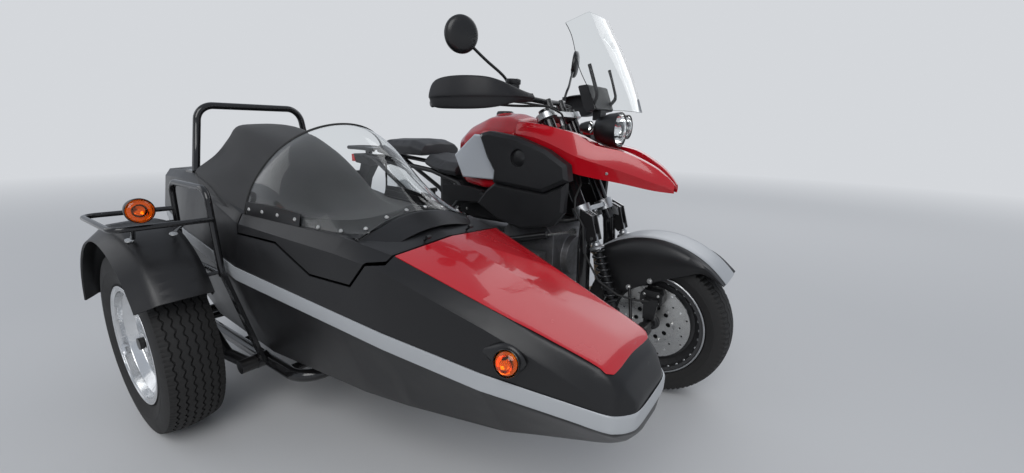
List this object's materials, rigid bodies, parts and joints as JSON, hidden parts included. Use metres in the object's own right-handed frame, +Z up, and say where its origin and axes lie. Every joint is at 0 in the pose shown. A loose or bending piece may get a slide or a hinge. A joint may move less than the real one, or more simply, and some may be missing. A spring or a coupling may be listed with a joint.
{
  "type": "sidecar motorcycle",
  "caption": "Motorcycle with a leading-link front end, joined on its right side to a sidecar with covered cockpit, tilting screen, boot lid and own wheel.",
  "frame": {"origin": "on the road, under the middle of the whole outfit's bounding box", "axes": "+X forward, +Y to the left (from the sidecar towards the motorcycle), +Z up"},
  "size_m": [2.2069, 1.8884, 1.448],
  "materials": {
    "red_paint": "gloss",
    "silver_paint": "satin metallic",
    "gloss_black": "gloss",
    "satin_black": "satin",
    "frame_black": "semi-gloss",
    "dark_plastic": "matt",
    "engine_alloy": "cast, dark",
    "light_alloy": "satin",
    "bright_steel": "brushed",
    "exhaust_steel": "heat-tinted",
    "dark_wheel": "satin",
    "tyre": "matt",
    "rubber": "matt",
    "seat_vinyl": "satin",
    "cover_fabric": "woven, coated",
    "clear_screen": "clear",
    "lamp": "gloss",
    "red_lens": "gloss"
  },
  "bodies": {
    "chassis": {"bike_frame": "frame_black", "wishbone": "frame_black", "engine_block": "engine_alloy", "cylinders": "engine_alloy", "exhaust": "exhaust_steel", "swingarm": "frame_black", "footpegs": "rubber", "fuel_tank": "red_paint", "side_covers": "dark_plastic", "side_trims": "silver_paint", "beak": "red_paint", "headlamp": "lamp", "indicators": "lamp", "bike_screen": "clear_screen", "instrument_cluster": "dark_plastic", "rider_seat": "seat_vinyl", "pillion_seat": "seat_vinyl", "rear_rack": "frame_black", "rear_mudguard": "dark_plastic", "tail_lamps": "red_lens", "tonneau_cover": "cover_fabric", "seat_back": "seat_vinyl", "roll_bar": "gloss_black", "sidecar_frame": "gloss_black", "sidecar_swingarm": "frame_black", "sidecar_mudguard": "satin_black", "guard_rack": "gloss_black", "sidecar_hull": "satin_black", "bonnet_panel": "red_paint", "side_stripe": "silver_paint", "damper_cylinder": "frame_black"},
    "steering": {"fork_legs": "gloss_black", "fork_clamps": "light_alloy", "leading_link": "frame_black", "front_shocks": "frame_black", "front_mudguard": "satin_black", "brake_caliper": "satin_black", "handlebar": "frame_black", "grips": "rubber", "hand_guards": "dark_plastic", "mirrors": "dark_plastic", "brake_hose": "rubber"},
    "front_wheel_body": {"front_tyre": "tyre", "front_wheel": "dark_wheel", "brake_disc": "bright_steel"},
    "rear_wheel_body": {"rear_tyre": "tyre", "rear_wheel": "dark_wheel"},
    "sidecar_wheel_body": {"sidecar_tyre": "tyre", "sidecar_wheel": "light_alloy"},
    "cowl_body": {"cowl": "satin_black", "sidecar_screen": "clear_screen"},
    "boot_lid_body": {"boot_lid": "satin_black"},
    "damper_rod_body": {"damper_rod": "bright_steel"}
  },
  "joints": [
    {"name": "steering_turn", "type": "hinge", "parent": "chassis", "child": "steering", "pos_m": [0.8685, 0.4488, 0], "axis": [-0.4446, 0, 0.8957], "range_deg": [-30, 30]},
    {"name": "front_wheel_spin", "type": "hinge", "parent": "steering", "child": "front_wheel_body", "pos_m": [0.8185, 0.4488, 0.285], "axis": [0, 1, 0], "continuous": true},
    {"name": "rear_wheel_spin", "type": "hinge", "parent": "chassis", "child": "rear_wheel_body", "pos_m": [-0.7515, 0.4488, 0.314], "axis": [0, 1, 0], "continuous": true},
    {"name": "sidecar_wheel_spin", "type": "hinge", "parent": "chassis", "child": "sidecar_wheel_body", "pos_m": [-0.4615, -0.8212, 0.314], "axis": [0, 1, 0], "continuous": true},
    {"name": "cowl_tilt", "type": "hinge", "parent": "chassis", "child": "cowl_body", "pos_m": [0.4695, -0.3682, 0.741], "axis": [0, 1, 0], "range_deg": [0, 60]},
    {"name": "boot_lid_tilt", "type": "hinge", "parent": "chassis", "child": "boot_lid_body", "pos_m": [-0.6475, -0.3682, 0.87], "axis": [0, 1, 0], "range_deg": [0, 75]},
    {"name": "damper_stroke", "type": "slide", "parent": "chassis", "child": "damper_rod_body", "axis": [0.9652, 0.0726, 0.2512], "range_m": [-0.085, 0.085]}
  ],
  "couplings": [
    {"joint": "damper_stroke", "follows": "steering_turn", "m_per_rad": 0.159}
  ]
}
